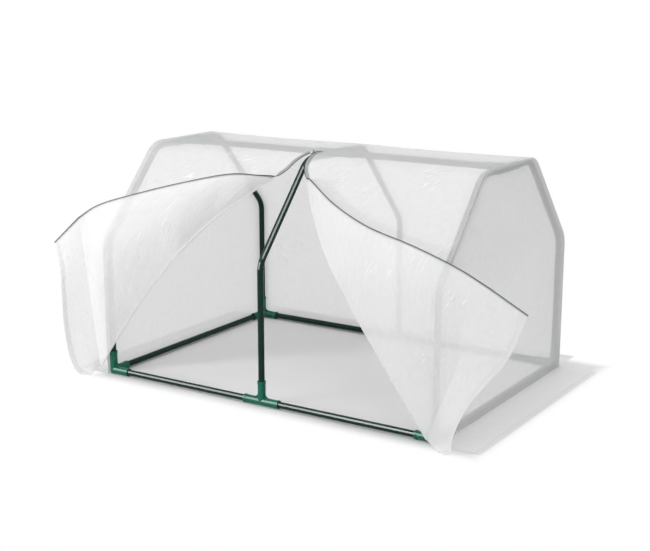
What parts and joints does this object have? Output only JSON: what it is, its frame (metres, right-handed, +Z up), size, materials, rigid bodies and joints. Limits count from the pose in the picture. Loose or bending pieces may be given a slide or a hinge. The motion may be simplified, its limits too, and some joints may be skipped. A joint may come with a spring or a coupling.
{
  "type": "mini greenhouse",
  "caption": "Mini greenhouse of green coated steel tube and plastic fittings, under a white woven film cover with two folded-back zip doors and ground skirts.",
  "frame": {"origin": "middle of the box's underside, on the ground", "axes": "+X along the house to the viewer's right, +Y from the zipped front to the rear, +Z up"},
  "size_m": [1.3136, 0.8844, 0.6081],
  "materials": {
    "steel": "dark green powder coat, glossy",
    "plastic": "mid green moulded plastic, semi-gloss",
    "cover": "white translucent woven film, fine crinkle",
    "zip_tape": "grey-green woven zip tape",
    "zip_metal": "plated zip slider and pull"
  },
  "bodies": {
    "house": {"arch_left_front": "steel", "arch_left_rear": "steel", "arch_mid_front": "steel", "arch_mid_rear": "steel", "arch_right_front": "steel", "arch_right_rear": "steel", "base_tube_front_left": "steel", "base_tube_front_right": "steel", "base_tube_rear_left": "steel", "base_tube_rear_right": "steel", "base_tube_left_end": "steel", "base_tube_right_end": "steel", "ridge_tube_left": "steel", "ridge_tube_right": "steel", "corner_joint_front_left": "plastic", "corner_joint_front_right": "plastic", "corner_joint_rear_left": "plastic", "corner_joint_rear_right": "plastic", "base_tee_front": "plastic", "base_tee_rear": "plastic", "ridge_tee_left": "plastic", "ridge_tee_right": "plastic", "ridge_cross": "plastic", "roof_and_rear_sheet": "cover", "front_sheet_left": "cover", "front_sheet_right": "cover", "end_wall_left": "cover", "end_wall_right": "cover", "ground_skirt_left": "cover", "ground_skirt_right": "cover", "ground_skirt_rear": "cover", "door_top_left": "cover", "door_top_right": "cover", "zip_tape_left_root": "zip_tape", "zip_tape_left_top": "zip_tape", "zip_tape_right_root": "zip_tape", "zip_tape_right_top": "zip_tape", "zip_chain_top": "zip_tape"},
    "door_left": {"door_flap_left": "cover", "zip_tape_left_door": "zip_tape"},
    "door_hem_left": {"door_hem_left": "cover", "zip_tape_left_hem": "zip_tape"},
    "door_right": {"door_flap_right": "cover", "zip_tape_right_door": "zip_tape"},
    "door_hem_right": {"door_hem_right": "cover", "zip_tape_right_hem": "zip_tape"},
    "zip_slider": {"zip_slider": "zip_metal"},
    "zip_pull": {"zip_pull": "zip_metal"}
  },
  "joints": [
    {"name": "door_left_fold", "type": "hinge", "parent": "house", "child": "door_left", "pos_m": [-0.57724, -0.38232, 0], "axis": [0.6149, 0, 0.7886], "range_deg": [0, 150]},
    {"name": "door_left_hem_seam", "type": "hinge", "parent": "door_left", "child": "door_hem_left", "pos_m": [-0.56009, -0.39032, 0.022], "axis": [0.0604, 0.0505, -0.9969], "range_deg": [0, 75]},
    {"name": "door_right_fold", "type": "hinge", "parent": "house", "child": "door_right", "pos_m": [0.43876, -0.38232, 0], "axis": [0.5895, 0, -0.8078], "range_deg": [0, 150]},
    {"name": "door_right_hem_seam", "type": "hinge", "parent": "door_right", "child": "door_hem_right", "pos_m": [0.43, -0.39032, 0.012], "axis": [0.3613, 0.0255, 0.9321], "range_deg": [0, 75]},
    {"name": "zip_slider_travel", "type": "hinge", "parent": "house", "child": "zip_slider", "pos_m": [-0.04424, -0.1276, 0.5279], "axis": [1, 0, 0], "range_deg": [0, 48]},
    {"name": "zip_pull_lift", "type": "hinge", "parent": "zip_slider", "child": "zip_pull", "pos_m": [-0.04424, -0.12772, 0.60565], "axis": [-1, 0, 0], "range_deg": [0, 100]}
  ],
  "couplings": [
    {"joint": "door_left_hem_seam", "follows": "door_left_fold", "ratio": 0.5},
    {"joint": "door_right_hem_seam", "follows": "door_right_fold", "ratio": 0.5}
  ]
}
